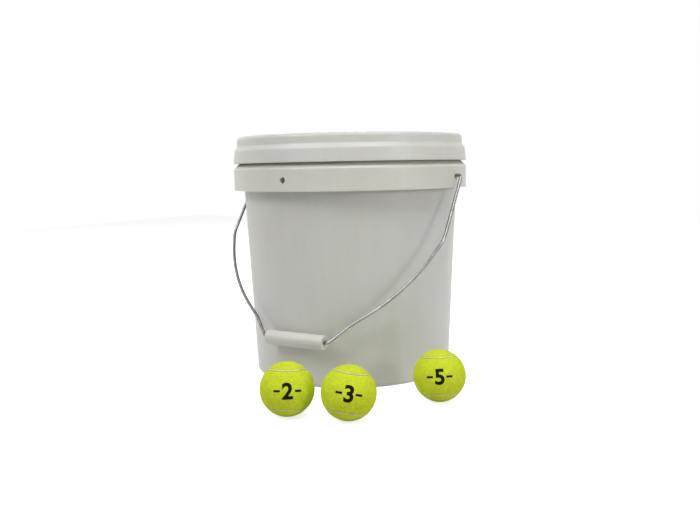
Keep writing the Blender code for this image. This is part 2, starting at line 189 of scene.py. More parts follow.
# Top of the seam's section: share of its half width, and drop below its middle
SEAM_DOME = [(1.0, 0.0003), (0.7, 0.00008), (0.25, 0)]

# Fuzz on the felt; the angles are in radians
FUZZ_SEED = 101  # times the ball's own number
FUZZ_COUNT = 13000
FUZZ_LENGTH = (0.0006, 0.0013)
FUZZ_RADIUS = 0.000035
FUZZ_SIDES = 3
FUZZ_TAPER = 0.8  # a fibre's thickness at its middle, as a share of that at its root
FUZZ_ROOT_DEPTH = 0.00015
FUZZ_LIFT = (0.05, 1.1, 0.25)  # least, most and commonest angle off the felt
FUZZ_BEND = (0.1, 0.9)  # how far the outer half bends back down
FUZZ_CURL = 0.9  # how far the outer half may turn aside

# A fibre's faces: 0 to 2 lie round its root, 3 to 5 round its middle, and 6 is its tip
FUZZ_FACES = [(2, 1, 0), (0, 1, 4, 3), (3, 4, 6), (1, 2, 5, 4), (4, 5, 6), (2, 0, 3, 5), (5, 3, 6)]

# Numbers printed on the balls
NUMBER_HEIGHT = 0.0190
NUMBER_SHARE = 0.72  # a number's height, as a share of its font's size
NUMBER_BOLD = 0.0008
NUMBER_STEPS = 8  # stretches in each curve of the font
STRAIGHT_ANGLE = 0.01  # points of the outline that turn by less than this go
BAR_LENGTH = 0.0080
BAR_WIDTH = 0.0026
BAR_GAP = 0.0024
INK_RISE = 0.00012
INK_DEPTH = 0.0006
PRINT_CELL = 0.0006

# Each ball's heading, tilt and roll in degrees, and its printed number
BALLS = {
    "ball_left": (36.5, 10.8, -1.1, "2"),
    "ball_middle": (32.0, 13.3, -9.6, "3"),
    "ball_right": (25.4, 11.6, 2.9, "5"),
}

# Colours of the plastics: their own, and that of their warmer clouds
PAIL_COLOURS = ((0.66, 0.65, 0.59), (0.65, 0.63, 0.56))
LID_COLOURS = ((0.64, 0.635, 0.585), (0.63, 0.615, 0.555))
GRIP_COLOURS = ((0.62, 0.61, 0.575), (0.61, 0.595, 0.55))
SCUFF_PALENESS = 1.12  # a scuff's brightness, as a share of the plastic's
PLASTIC_SPREAD = 0.05  # how far its roughness strays up and down
SUBSURFACE_RADIUS = (0.010, 0.0082, 0.0048)
PLASTIC_IOR = 1.49

# Colours of the felt and its fuzz: the tufts, and a deeper yellow painted as shade in the hollows
# between them
FELT_COLOURS = ((0.74, 0.86, 0.055), (0.59, 0.70, 0.018))
FUZZ_COLOURS = ((0.78, 0.91, 0.09), (0.67, 0.80, 0.045))
SHEEN_TINT = (0.92, 1.0, 0.30)

# Colours of the wire, the rubber and the ink
# Painted reflection: the wire's two colours are kept far darker than zinc, and its edge tint near black,
# so that the white studio reflects in it like a dark room; the patches between the two colours differ at
# random
WIRE_SHADED_DULL = (0.215, 0.215, 0.206)
WIRE_SHADED_BRIGHT = (0.30, 0.30, 0.29)
WIRE_EDGE_SHADE_TINT = (0.04, 0.04, 0.04)
WIRE_PREVIEW = (0.62, 0.63, 0.64)
SEAM_COLOUR = (0.64, 0.66, 0.28)
CORE_COLOUR = (0.09, 0.09, 0.09)
DUST_PALENESS = 1.15  # brightness of the rubber's dust and of its bare places
BARE_PALENESS = 0.85
RUBBER_SPREAD = 0.08  # how far its roughness strays up and down
INK_DEEP = (0.005, 0.005, 0.004)
INK_THIN = (0.022, 0.023, 0.009)
INK_PREVIEW = (0.01, 0.01, 0.01)
WHITE = (1, 1, 1)

# Camera, found from the ellipses of the bucket's rims in the photograph
IMAGE_WIDTH = 700
FOCAL_PIXELS = 800.0
SENSOR_WIDTH = 36.0
CAMERA_AZIMUTH = math.radians(31.3)
CAMERA_DISTANCE = 1.1649
CAMERA_HEIGHT = 0.2892
CAMERA_PITCH = 0.1150
CAMERA_ROLL = 0.0185
CAMERA_PAN = -0.0020

# Studio
AMBIENT = (0.20, 0.20, 0.20)
FLOOR_SIZE = 6.0
FLOOR_ALBEDO = 0.64
FLOOR_GLOW = 0.78
FLOOR_ROUGHNESS = 0.9

# Each lamp's azimuth from the front and elevation in degrees, distance, size and power
LAMPS = {
    "left": (-25, 43, 2.4, 1.0, 21.5),
    "right": (80, 15, 2.4, 0.6, 12),
    "far_left": (-95, 20, 2.4, 1.6, 4),
    "high": (29, 57, 2.4, 0.6, 6.5),
    "top": (70, 66, 2.4, 1.0, 23),
    "back": (-155, 35, 2.6, 1.4, 20),
}

# The Mix node's sockets for colours: its factor and two colours, and its result
MIX_INPUTS = (0, 6, 7)
MIX_OUTPUT = 2

# Sizes that follow from those above
RIM_WALL_RADIUS = COLLAR_RADIUS - COLLAR_WIDTH
COLLAR_TOP = RIM_HEIGHT - COLLAR_DROP
COLLAR_BOTTOM = COLLAR_TOP - COLLAR_HEIGHT
HOLE_HEIGHT = COLLAR_BOTTOM + HOLE_RISE
FOOT_WALL_RADIUS = RIM_WALL_RADIUS - WALL_TAPER
FOOT_INNER_RADIUS = FOOT_WALL_RADIUS - FOOT_RING_WIDTH
RIM_RADIUS = RIM_WALL_RADIUS + RIM_BEAD_WIDTH
BAND_INSIDE = RIM_RADIUS + LID_FIT
STACK_DISC_RADIUS = FOOT_INNER_RADIUS - STACK_FIT
BAIL_SHIFT = HINGE.x - AXIS.x  # how far the bail has slid to the right in its ears
BAIL_LEAN = GRIP_CENTRE.x - HINGE.x  # how much further to the right its lower end hangs
BAIL_LENGTH = (GRIP_CENTRE - HINGE).yz.length
PIN_END = COLLAR_RADIUS - COLLAR_WALL - BOSS_DEPTH - BAIL_SHIFT - TIP_CLEARANCE - WIRE_RADIUS
LEG_X = SKIRT_RADIUS + LEG_CLEARANCE + WIRE_RADIUS
FELT_INSIDE = BALL_RADIUS - FELT_THICKNESS


# Node materials


def new_material(name):
    made = bpy.data.materials.new(name)
    made.use_nodes = True
    tree = made.node_tree
    return made, tree, tree.nodes["Principled BSDF"]


def add_node(tree, kind, **properties):
    node = tree.nodes.new(kind)
    for name, value in properties.items():
        setattr(node, name, value)
    return node


def set_sockets(node, **values):
    """Sets the node's inputs of these names, in which an underscore stands for a space."""
    for name, value in values.items():
        node.inputs[name.replace("_", " ")].default_value = value


def object_coordinates(tree, scale=(1, 1, 1)):
    place = add_node(tree, "ShaderNodeTexCoord")
    mapping = add_node(tree, "ShaderNodeMapping")
    set_sockets(mapping, Scale=scale)
    tree.links.new(place.outputs["Object"], mapping.inputs["Vector"])
    return mapping.outputs["Vector"]


def noise_texture(tree, vector, scale, detail, roughness=0.55, distortion=0.0):
    made = add_node(tree, "ShaderNodeTexNoise")
    set_sockets(made, Scale=scale, Detail=detail, Roughness=roughness, Distortion=distortion)
    tree.links.new(vector, made.inputs["Vector"])
    return made.outputs["Fac"]


def ramp(tree, value, stops):
    """A colour ramp with two stops of (position, colour or grey)."""
    made = add_node(tree, "ShaderNodeValToRGB")
    for element, (position, colour) in zip(made.color_ramp.elements, stops):
        element.position = position
        if isinstance(colour, (int, float)):
            colour = (colour, colour, colour)
        element.color = (*colour, 1)
    tree.links.new(value, made.inputs["Fac"])
    return made.outputs["Color"]


def to_range(tree, value, low, high, from_low=0.0, from_high=1.0):
    """The value moved from one range to the other, and held inside it."""
    made = add_node(tree, "ShaderNodeMapRange")
    set_sockets(made, From_Min=from_low, From_Max=from_high, To_Min=low, To_Max=high)
    tree.links.new(value, made.inputs["Value"])
    return made.outputs["Result"]


def mix_colours(tree, factor, first, second, blend="MIX"):
    """The two colours mixed; each value is a socket, a number or a colour."""
    made = add_node(tree, "ShaderNodeMix", data_type="RGBA", blend_type=blend)
    for index, value in zip(MIX_INPUTS, (factor, first, second)):
        socket = made.inputs[index]
        if isinstance(value, bpy.types.NodeSocket):
            tree.links.new(value, socket)
        elif isinstance(value, (int, float)):
            socket.default_value = value
        else:
            socket.default_value = (*value, 1)
    return made.outputs[MIX_OUTPUT]


def bump(tree, height, distance, strength, normal=None):
    made = add_node(tree, "ShaderNodeBump")
    set_sockets(made, Distance=distance, Strength=strength)
    tree.links.new(height, made.inputs["Height"])
    if normal:
        tree.links.new(normal, made.inputs["Normal"])
    return made.outputs["Normal"]


def plastic(name, colour, warm, roughness, subsurface=0.5):
    """Satin moulded plastic: cloudy colour, faint scuffs, and a fine eggshell grain."""
    made, tree, shader = new_material(name)
    place = object_coordinates(tree)
    tall = object_coordinates(tree, (1, 1, 0.12))
    clouds = noise_texture(tree, place, scale=9.0, detail=3.0)
    streaks = noise_texture(tree, tall, scale=70.0, detail=5.0, roughness=0.6)
    grain = noise_texture(tree, place, scale=1500.0, detail=2.0)
    pores = noise_texture(tree, place, scale=420.0, detail=3.0)
    scuffs = noise_texture(tree, place, scale=55.0, detail=9.0, roughness=0.72, distortion=1.6)
    cloudy = mix_colours(tree, to_range(tree, clouds, 0, 1, from_low=0.35, from_high=0.65), colour, warm)
    streaky = ramp(tree, streaks, [(0.3, 0.965), (0.7, 1.0)])
    streaked = mix_colours(tree, 1.0, cloudy, streaky, "MULTIPLY")
    scuffed = ramp(tree, scuffs, [(0.64, 0.0), (0.78, 1.0)])
    pale = tuple(min(1, value * SCUFF_PALENESS) for value in colour)
    worn = mix_colours(tree, to_range(tree, scuffed, 0, 0.35), streaked, pale)
    tree.links.new(worn, shader.inputs["Base Color"])
    rough = add_node(tree, "ShaderNodeMath", operation="ADD")
    porous_roughness = to_range(tree, pores, roughness - PLASTIC_SPREAD, roughness + PLASTIC_SPREAD)
    tree.links.new(porous_roughness, rough.inputs[0])
    tree.links.new(to_range(tree, scuffed, 0, 0.18), rough.inputs[1])
    tree.links.new(rough.outputs[0], shader.inputs["Roughness"])
    waves = noise_texture(tree, place, scale=24.0, detail=2.0)
    wavy = bump(tree, waves, distance=0.0006, strength=0.25)
    porous = bump(tree, pores, distance=0.00004, strength=0.5, normal=wavy)
    grainy = bump(tree, grain, distance=0.00002, strength=0.6, normal=porous)
    tree.links.new(grainy, shader.inputs["Normal"])
    set_sockets(shader, Subsurface_Weight=subsurface, Subsurface_Scale=1.0, IOR=PLASTIC_IOR)
    set_sockets(shader, Subsurface_Radius=SUBSURFACE_RADIUS)
    made.diffuse_color = (*colour, 1)
    return made


def zinc_wire():
    """Drawn wire with a thin zinc plating, its colours kept dark and its edges darkened by the tint as a
    painted reflection of dark surroundings: fine lines along it and duller patches.
    """
    made, tree, shader = new_material("zinc_wire")
    along = add_node(tree, "ShaderNodeUVMap", uv_map=WIRE_MAP)
    mapping = add_node(tree, "ShaderNodeMapping")
    set_sockets(mapping, Scale=(12.0, 9.0, 1.0))
    tree.links.new(along.outputs["UV"], mapping.inputs["Vector"])
    lines = noise_texture(tree, mapping.outputs["Vector"], scale=6.0, detail=5.0, roughness=0.65)
    place = object_coordinates(tree)
    patches = noise_texture(tree, place, scale=90.0, detail=5.0, roughness=0.6, distortion=0.4)
    # Painted reflection: both patch colours are darkened to stand in for dark surroundings
    shaded_patches = ramp(tree, patches, [(0.35, WIRE_SHADED_DULL), (0.65, WIRE_SHADED_BRIGHT)])
    tree.links.new(shaded_patches, shader.inputs["Base Color"])
    # Painted reflection: the near-black edge tint darkens the wire's sides
    set_sockets(shader, Metallic=1.0, Specular_Tint=(*WIRE_EDGE_SHADE_TINT, 1))
    rough = to_range(tree, lines, 0.17, 0.26, from_low=0.3, from_high=0.7)
    tree.links.new(rough, shader.inputs["Roughness"])
    tree.links.new(bump(tree, lines, distance=0.00002, strength=0.25), shader.inputs["Normal"])
    made.diffuse_color = (*WIRE_PREVIEW, 1)
    return made


def felt_material(name, bright, deep_and_hollow_shade, fuzz=False):
    """Brushed felt: tufts of brighter yellow with deeper yellow painted as shade in the hollows between
    them, painted shade along the strands' hollows, woolly bumps and a soft sheen.
    """
    made, tree, shader = new_material(name)
    place = object_coordinates(tree)
    tufts = noise_texture(tree, place, scale=520.0, detail=6.0, roughness=0.7, distortion=0.5)
    blotches = noise_texture(tree, place, scale=110.0, detail=3.0)
    lying = object_coordinates(tree, (1, 0.35, 2.2))
    strands = noise_texture(tree, lying, scale=1900.0, detail=4.0, roughness=0.7, distortion=1.2)
    # Painted shade: the deeper yellow goes where the tufts noise is low, which is where the woolly bump
    # sinks
    tufts_with_shade = mix_colours(tree, to_range(tree, tufts, 0, 1, from_low=0.38, from_high=0.62), deep_and_hollow_shade, bright)
    blotchy = ramp(tree, blotches, [(0.35, 0.90), (0.65, 1.0)])
    blotched = mix_colours(tree, 1.0, tufts_with_shade, blotchy, "MULTIPLY")
    # Painted shade: the strands darken the felt where their noise is low, which is where the stringy
    # bump sinks
    strand_shade = ramp(tree, strands, [(0.35, 0.86), (0.62, 1.0)])
    tree.links.new(mix_colours(tree, 1.0, blotched, strand_shade, "MULTIPLY"), shader.inputs["Base Color"])
    set_sockets(shader, Roughness=0.92, Specular_IOR_Level=0.06)
    set_sockets(shader, Sheen_Weight=0.07, Sheen_Roughness=0.45, Sheen_Tint=(*SHEEN_TINT, 1))
    if not fuzz:
        woolly = bump(tree, tufts, distance=0.0004, strength=0.7)
        stringy = bump(tree, strands, distance=0.00012, strength=0.6, normal=woolly)
        tree.links.new(stringy, shader.inputs["Normal"])
    made.diffuse_color = (*bright, 1)
    return made


def rubber(name, colour, roughness):
    """Matt moulded rubber with a dusty, slightly uneven surface."""
    made, tree, shader = new_material(name)
    place = object_coordinates(tree)
    dust = noise_texture(tree, place, scale=160.0, detail=5.0, roughness=0.6)
    grain = noise_texture(tree, place, scale=700.0, detail=3.0)
    pale = tuple(min(1, value * DUST_PALENESS + 0.01) for value in colour)
    dark = tuple(value * BARE_PALENESS for value in colour)
    dusty = mix_colours(tree, to_range(tree, dust, 0, 1, from_low=0.35, from_high=0.65), dark, pale)
    tree.links.new(dusty, shader.inputs["Base Color"])
    rough = to_range(tree, dust, roughness - RUBBER_SPREAD, roughness + RUBBER_SPREAD)
    tree.links.new(rough, shader.inputs["Roughness"])
    tree.links.new(bump(tree, grain, distance=0.00008, strength=0.5), shader.inputs["Normal"])
    made.diffuse_color = (*colour, 1)
    return made


def ink_material():
    """Black printing ink that has soaked into the felt, thinner where the tufts stand up."""
    made, tree, shader = new_material("ink")
    place = object_coordinates(tree)
    tufts = noise_texture(tree, place, scale=800.0, detail=6.0, roughness=0.7)
    inked = ramp(tree, tufts, [(0.40, INK_DEEP), (0.72, INK_THIN)])
    tree.links.new(inked, shader.inputs["Base Color"])
    set_sockets(shader, Roughness=0.85, Specular_IOR_Level=0.08)
    tree.links.new(bump(tree, tufts, distance=0.0002, strength=0.6), shader.inputs["Normal"])
    made.diffuse_color = (*INK_PREVIEW, 1)
    return made


# Meshes


def wall_radius(height):
    return FOOT_WALL_RADIUS + WALL_TAPER * height / RIM_HEIGHT


def rounded(corners):
    """The points of an outline with these corners (x, y) or (x, y, radius), the latter rounded."""
    points = []
    for index, corner in enumerate(corners):
        here = Vector(corner[:2])
        if len(corner) == 2:
            points.append(here)
            continue
        radius = corner[2]
        before = (Vector(corners[index - 1][:2]) - here).normalized()
        after = (Vector(corners[(index + 1) % len(corners)][:2]) - here).normalized()
        half = before.angle(after) / 2
        centre = here + (before + after).normalized() * radius / math.sin(half)
        start = here + before * radius / math.tan(half) - centre
        end = here + after * radius / math.tan(half) - centre
        turn = -start.angle_signed(end)
        widest = 2 * math.acos(1 - min(ARC_ERROR / radius, 1))
        steps = max(2, math.ceil(abs(turn) / widest))
        for step in range(steps + 1):
            points.append(centre + Matrix.Rotation(turn * step / steps, 2) @ start)
    return points


def spaced(points, longest):
    """The same outline, with no stretch longer than this."""
    made = [points[0]]
    for before, after in zip(points, points[1:]):
        steps = max(1, math.ceil((after - before).length / longest))
        for step in range(1, steps + 1):
            made.append(before.lerp(after, step / steps))
    return made


def finish_mesh(bm, name, finish, sharp_angle=SHARP_ANGLE, merge=MERGE_DISTANCE):
    """A mesh made of this bmesh, smooth but for its sharp edges."""
    bmesh.ops.remove_doubles(bm, verts=bm.verts, dist=merge)
    bmesh.ops.recalc_face_normals(bm, faces=bm.faces)
    mesh = bpy.data.meshes.new(name)
    bm.to_mesh(mesh)
    bm.free()
    mesh.shade_smooth()
    mesh.set_sharp_from_angle(angle=math.radians(sharp_angle))
    mesh.materials.append(finish)
    return mesh


def add_object(name, data):
    made = bpy.data.objects.new(name, data)
    bpy.context.scene.collection.objects.link(made)
    return made


def add_piece(name, mesh, body, replaced=()):
    """A piece that rides on this body and stands for the replaced nodes, if there are any."""
    made = add_object(name, mesh)
    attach(made, body)
    if replaced:
        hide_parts(*replaced)


def lathe(outline, flats, closed=False):
    """A bmesh of this outline of (radius, height) points turned round Z."""
    bm = bmesh.new()
    verts = [bm.verts.new((point[0], 0, point[1])) for point in outline]
    pairs = list(zip(verts, verts[1:]))
    if closed:
        pairs.append((verts[-1], verts[0]))
    edges = [bm.edges.new(pair) for pair in pairs]
    bmesh.ops.spin(
        bm,
        geom=verts + edges,
        cent=(0, 0, 0),
        axis=(0, 0, 1),
        angle=2 * math.pi,
        steps=flats,
        use_merge=True,
    )
    return bm


def shoulder(inset):
    """Corners of the collar's sloping shoulder, moved in by this much, from below."""
    slope = SHOULDER_SLOPE - inset * (2 - math.sqrt(2))
    radius = COLLAR_RADIUS - inset
    top = COLLAR_TOP - inset
    return [(radius, top - slope, SHOULDER_ROUND), (radius - slope, top, SHOULDER_ROUND)]


def bucket_outline():
    collar_under = COLLAR_TOP - COLLAR_WALL
    bead_under = RIM_HEIGHT - RIM_BEAD_HEIGHT
    foot_outer = FOOT_INNER_RADIUS + FOOT_SLOPE
    corners = [
        (0, FOOT_HEIGHT - GATE_RISE),
        (GATE_RADIUS - GATE_RISE, FOOT_HEIGHT - GATE_RISE, EDGE_ROUND / 2),
        (GATE_RADIUS, FOOT_HEIGHT),
        (FOOT_INNER_RADIUS, FOOT_HEIGHT, EDGE_ROUND),
        (foot_outer, 0, EDGE_ROUND),
        (wall_radius(0), 0, FOOT_ROUND),
        (wall_radius(collar_under), collar_under, EDGE_ROUND),
        *reversed(shoulder(COLLAR_WALL)),
        (COLLAR_RADIUS - COLLAR_WALL, COLLAR_BOTTOM, EDGE_ROUND),
        (COLLAR_RADIUS, COLLAR_BOTTOM, EDGE_ROUND),
        *shoulder(0),
        (wall_radius(COLLAR_TOP), COLLAR_TOP),
        (wall_radius(bead_under), bead_under, EDGE_ROUND),
        (RIM_RADIUS, bead_under, EDGE_ROUND),
        (RIM_RADIUS, RIM_HEIGHT, RIM_ROUND),
        (wall_radius(RIM_HEIGHT) - WALL, RIM_HEIGHT, MOUTH_ROUND),
        (wall_radius(FLOOR) - WALL, FLOOR, FLOOR_ROUND),
        (foot_outer, FLOOR, EDGE_ROUND),
        (FOOT_INNER_RADIUS, FOOT_HEIGHT + FLOOR, EDGE_ROUND),
        (0, FOOT_HEIGHT + FLOOR),
    ]
    return spaced(rounded(corners), RING_SPACING)


def lid_outline():
    panel = LID_TOP - PANEL_RECESS
    ceiling = LID_TOP - LID_WALL
    plug_end = LID_TOP - PLUG_DEPTH
    plug_top = wall_radius(ceiling) - WALL - PLUG_FIT
    plug_low = wall_radius(plug_end) - WALL - PLUG_FIT
    snap = RIM_HEIGHT - RIM_BEAD_HEIGHT - GAP
    band_low = LID_TOP - BAND_DROP
    skirt_top = band_low - STEP_DROP
    skirt_top_radius = SKIRT_RADIUS - SKIRT_FLARE
    disc = panel + STACK_DISC_RISE
    corners = [
        (0, disc + GATE_RISE),
        (GATE_RADIUS - GATE_RISE, disc + GATE_RISE, EDGE_ROUND / 2),
        (GATE_RADIUS, disc),
        (STACK_DISC_RADIUS, disc, DISC_ROUND),
        (STACK_DISC_RADIUS + STACK_DISC_RISE, panel, DISC_ROUND),
        (plug_low - LID_WALL, panel, STEP_ROUND),
        (plug_top - LID_WALL, LID_TOP, LID_WALL),
        (BAND_INSIDE + BAND_TOP_WALL, LID_TOP, BAND_ROUND),
        (BAND_INSIDE + BAND_LOW_WALL, band_low, STEP_ROUND),
        (skirt_top_radius, skirt_top, STEP_ROUND),
        (SKIRT_RADIUS, SKIRT_BOTTOM, LIP_ROUND),
        (SKIRT_RADIUS - LID_WALL, SKIRT_BOTTOM, LIP_ROUND),
        (skirt_top_radius - LID_WALL, skirt_top - LID_WALL / 2, LID_WALL),
        (BAND_INSIDE + BAND_LOW_WALL - LID_WALL, band_low - LID_WALL / 2, LID_WALL),
        (BAND_INSIDE, snap - SNAP_HEIGHT),
        (RIM_RADIUS - SNAP_BITE, snap - SNAP_HEIGHT / 2, EDGE_ROUND / 2),
        (RIM_RADIUS - SNAP_BITE, snap - SNAP_HEIGHT / 4, EDGE_ROUND / 2),
        (BAND_INSIDE, snap),
        (BAND_INSIDE, ceiling, RIM_ROUND),
        (plug_top, ceiling, EDGE_ROUND),
        (plug_low, plug_end, EDGE_ROUND),
        (plug_low - LID_WALL, plug_end, EDGE_ROUND),
        (plug_low - LID_WALL, panel - LID_WALL, EDGE_ROUND),
        (STACK_DISC_RADIUS + STACK_DISC_RISE, panel - LID_WALL),
        (STACK_DISC_RADIUS, disc - LID_WALL),
        (0, disc - LID_WALL),
    ]
    return spaced(rounded(corners), RING_SPACING)


def rib_corners():
    low = COLLAR_BOTTOM + RIB_RISE
    top = COLLAR_TOP - COLLAR_WALL + RIB_ROOT
    outer = COLLAR_RADIUS - COLLAR_WALL + RIB_ROOT
    return rounded(
        [
            (wall_radius(low + RIB_SLOPE) - RIB_ROOT, low + RIB_SLOPE),
            (outer, low),
            *shoulder(COLLAR_WALL - RIB_ROOT),
            (wall_radius(top) - RIB_ROOT, top),
        ]
    )


def quarter_turns():
    return [Matrix.Rotation(math.pi / 2 * quarter, 4, "Z") for quarter in range(4)]


def ribs_bmesh():
    bm = bmesh.new()
    side = Vector((0, RIB_THICKNESS / 2, 0))
    outline = [Vector((point[0], 0, point[1])) for point in rib_corners()]
    pitch = (90 - 2 * EAR_RIB_ANGLE) / (RIBS_PER_QUARTER - 1)
    for quarter in quarter_turns():
        for rib in range(RIBS_PER_QUARTER):
            turn = quarter @ Matrix.Rotation(math.radians(EAR_RIB_ANGLE + rib * pitch), 4, "Z")
            near = bm.faces.new([bm.verts.new(turn @ (point - side)) for point in outline])
            moved = bmesh.ops.extrude_face_region(bm, geom=[near])["geom"]
            far = [item for item in moved if isinstance(item, bmesh.types.BMVert)]
            bmesh.ops.translate(bm, verts=far, vec=turn.to_3x3() @ side * 2)
    return bm


def radial_cylinders(radius, near, far, far_radius=None):
    """Cylinders on the four holes' axes, from one distance out to another."""
    bm = bmesh.new()
    along_x = Matrix.Rotation(math.pi / 2, 4, "Y")
    middle = Matrix.Translation(((near + far) / 2, 0, HOLE_HEIGHT))
    for quarter in quarter_turns():
        bmesh.ops.create_cone(
            bm,
            cap_ends=True,
            segments=HOLE_FLATS,
            radius1=radius,
            radius2=far_radius or radius,
            depth=far - near,
            matrix=quarter @ middle @ along_x,
        )
    return bm


def combine(target, bm, operation):
    """Cuts this tool out of the target, or joins it on, for good."""
    bmesh.ops.recalc_face_normals(bm, faces=bm.faces)
    mesh = bpy.data.meshes.new("tool")
    bm.to_mesh(mesh)
    bm.free()
    tool = add_object("tool", mesh)
    modifier = target.modifiers.new("boolean", "BOOLEAN")
    modifier.operation = operation
    modifier.solver = "EXACT"
    modifier.object = tool
    graph = bpy.context.evaluated_depsgraph_get()
    result = bpy.data.meshes.new_from_object(target.evaluated_get(graph))
    target.modifiers.clear()
    target.data = result
    bpy.data.objects.remove(tool)


def make_bucket(finish):
    bm = lathe(bucket_outline(), ROUND_FLATS)
    bucket = add_object("pail", finish_mesh(bm, "pail", finish))
    skirt_inside = COLLAR_RADIUS - COLLAR_WALL
    combine(bucket, ribs_bmesh(), "UNION")
    bosses = radial_cylinders(BOSS_RADIUS, skirt_inside - BOSS_DEPTH, skirt_inside + COLLAR_WALL / 2)
    combine(bucket, bosses, "UNION")
    lips = radial_cylinders(
        HOLE_RADIUS + HOLE_LIP_WIDTH,
        skirt_inside + COLLAR_WALL / 2,
        COLLAR_RADIUS + HOLE_LIP_RISE,
        HOLE_RADIUS + HOLE_LIP_WIDTH / 2,
    )
    combine(bucket, lips, "UNION")
    holes = radial_cylinders(HOLE_RADIUS, skirt_inside - 2 * BOSS_DEPTH, COLLAR_RADIUS + COLLAR_WALL)
    combine(bucket, holes, "DIFFERENCE")
    mesh = bucket.data
    bpy.data.objects.remove(bucket)
    mesh.transform(Matrix.Translation(AXIS))
    mesh.set_sharp_from_angle(angle=math.radians(SHARP_ANGLE))
    add_piece("pail", mesh, "bucket", ["bucket"])


def make_lid(finish):
    mesh = finish_mesh(lathe(lid_outline(), ROUND_FLATS), "pail_lid", finish)
    mesh.transform(Matrix.Translation(AXIS))
    add_piece("pail_lid", mesh, "lid", ["lid"])


def bail_points():
    """The bent wire in its own plane: x along the hinge axis, y up towards the hinge."""
    grip_corner = GRIP_LENGTH / 2 + GRIP_BEND
    right = [
        (PIN_END, TIP_LENGTH),
        (PIN_END, 0, TIP_ROUND),
        (LEG_X, 0, HINGE_ROUND),
        (LEG_X, -LEG_LENGTH, LEG_ROUND),
        (LEG_X - SHOULDER_INSET, -LEG_LENGTH - SHOULDER_DROP, SLANT_ROUND),
        (grip_corner + KINK_OUT, -BAIL_LENGTH + KINK_RISE, KINK_ROUND),
        (grip_corner, -BAIL_LENGTH, GRIP_BEND_ROUND),
    ]
    left = [(-corner[0], *corner[1:]) for corner in reversed(right)]
    lean = BAIL_LEAN / BAIL_LENGTH
    leaning = [Vector((point.x - lean * point.y, point.y)) for point in rounded(right + left)]
    return spaced(leaning, RING_SPACING)


def make_bail(finish):
    """A round wire swept along its path, with chamfered ends and a UV map that runs along it."""
    across = Vector((1, 0, 0))
    down = (GRIP_CENTRE - HINGE - across * BAIL_LEAN).normalized()
    out = across.cross(down).normalized()
    path = [HINGE + across * point[0] - down * point[1] for point in bail_points()]
    ends = [(path[0] - path[1]).normalized(), (path[-1] - path[-2]).normalized()]
    rings = [
        (path[0], WIRE_RADIUS - TIP_CHAMFER),
        (path[0] - ends[0] * TIP_CHAMFER, WIRE_RADIUS),
        *((point, WIRE_RADIUS) for point in path[1:-1]),
        (path[-1] - ends[1] * TIP_CHAMFER, WIRE_RADIUS),
        (path[-1], WIRE_RADIUS - TIP_CHAMFER),
    ]
    bm = bmesh.new()
    uv_layer = bm.loops.layers.uv.new(WIRE_MAP)
    made = []
    lengths = [0.0]
    for index, (point, radius) in enumerate(rings):
        before = rings[max(index - 1, 0)][0]
        after = rings[min(index + 1, len(rings) - 1)][0]
        ahead = (after - before).normalized()
        side = ahead.cross(out).normalized()
        ring = []
        for flat in range(WIRE_FLATS):
            angle = 2 * math.pi * flat / WIRE_FLATS
            ring.append(bm.verts.new(point + (side * math.cos(angle) + out * math.sin(angle)) * radius))
        made.append(ring)
        if index:
            lengths.append(lengths[-1] + (point - rings[index - 1][0]).length)
    for index in range(len(made) - 1):
        for flat in range(WIRE_FLATS):
            after = (flat + 1) % WIRE_FLATS
            face = bm.faces.new(
                (made[index][flat], made[index][after], made[index + 1][after], made[index + 1][flat])
            )
            places = ((index, flat), (index, flat + 1), (index + 1, flat + 1), (index + 1, flat))
            for loop, (ring, step) in zip(face.loops, places):
                loop[uv_layer].uv = (lengths[ring], step / WIRE_FLATS)
    bm.faces.new(made[0])
    bm.faces.new(made[-1])
    mesh = finish_mesh(bm, "bail", finish, WIRE_SHARP_ANGLE)
    add_piece("bail", mesh, "bail", ["bail_wire"])


def make_grip(finish):
    """A thick tube with rounded ends and a shallow recess round the wire at each of them."""
    bore = WIRE_RADIUS + GAP
    end = GRIP_LENGTH / 2
    corners = [
        (bore, -end + GRIP_RECESS_DEPTH, EDGE_ROUND),
        (GRIP_RECESS_RADIUS, -end + GRIP_RECESS_DEPTH, EDGE_ROUND),
        (GRIP_RECESS_RADIUS, -end, EDGE_ROUND),
        (GRIP_RADIUS, -end, GRIP_ROUND),
        (GRIP_RADIUS, end, GRIP_ROUND),
        (GRIP_RECESS_RADIUS, end, EDGE_ROUND),
        (GRIP_RECESS_RADIUS, end - GRIP_RECESS_DEPTH, EDGE_ROUND),
        (bore, end - GRIP_RECESS_DEPTH, EDGE_ROUND),
    ]
    points = spaced(rounded(corners), RING_SPACING)
    mesh = finish_mesh(lathe(points, GRIP_FLATS, closed=True), "grip", finish)
    mesh.transform(Matrix.Translation(GRIP_CENTRE) @ Matrix.Rotation(math.pi / 2, 4, "Y"))
    add_piece("grip", mesh, "grip", ["bail_grip"])


# Balls: the seam's curve, felt, print and fuzz


def seam_point(turn):
    """Unit direction of the seam: x runs along one felt panel, y across it, z out of its waist."""
    wide = (1 + SEAM_WAIST) / 2
    narrow = (1 - SEAM_WAIST) / 2
    along = -wide * math.sin(turn) - narrow * math.sin(3 * turn)
    across = wide * math.cos(turn) - narrow * math.cos(3 * turn)
    return Vector((along, across, 2 * math.sqrt(wide * narrow) * math.cos(2 * turn)))


def beside_seam(turn, distance):
    """Unit direction of the point at this distance to one side of the seam."""
    here = seam_point(turn)
    step = 1e-4
    ahead = (seam_point(turn + step) - seam_point(turn - step)).normalized()
    side = here.cross(ahead)
    angle = distance / BALL_RADIUS
    return (here * math.cos(angle) + side * math.sin(angle)).normalized()


SEAM_CURVE = np.array([seam_point(2 * math.pi * step / SEAM_SAMPLES) for step in range(SEAM_SAMPLES)])


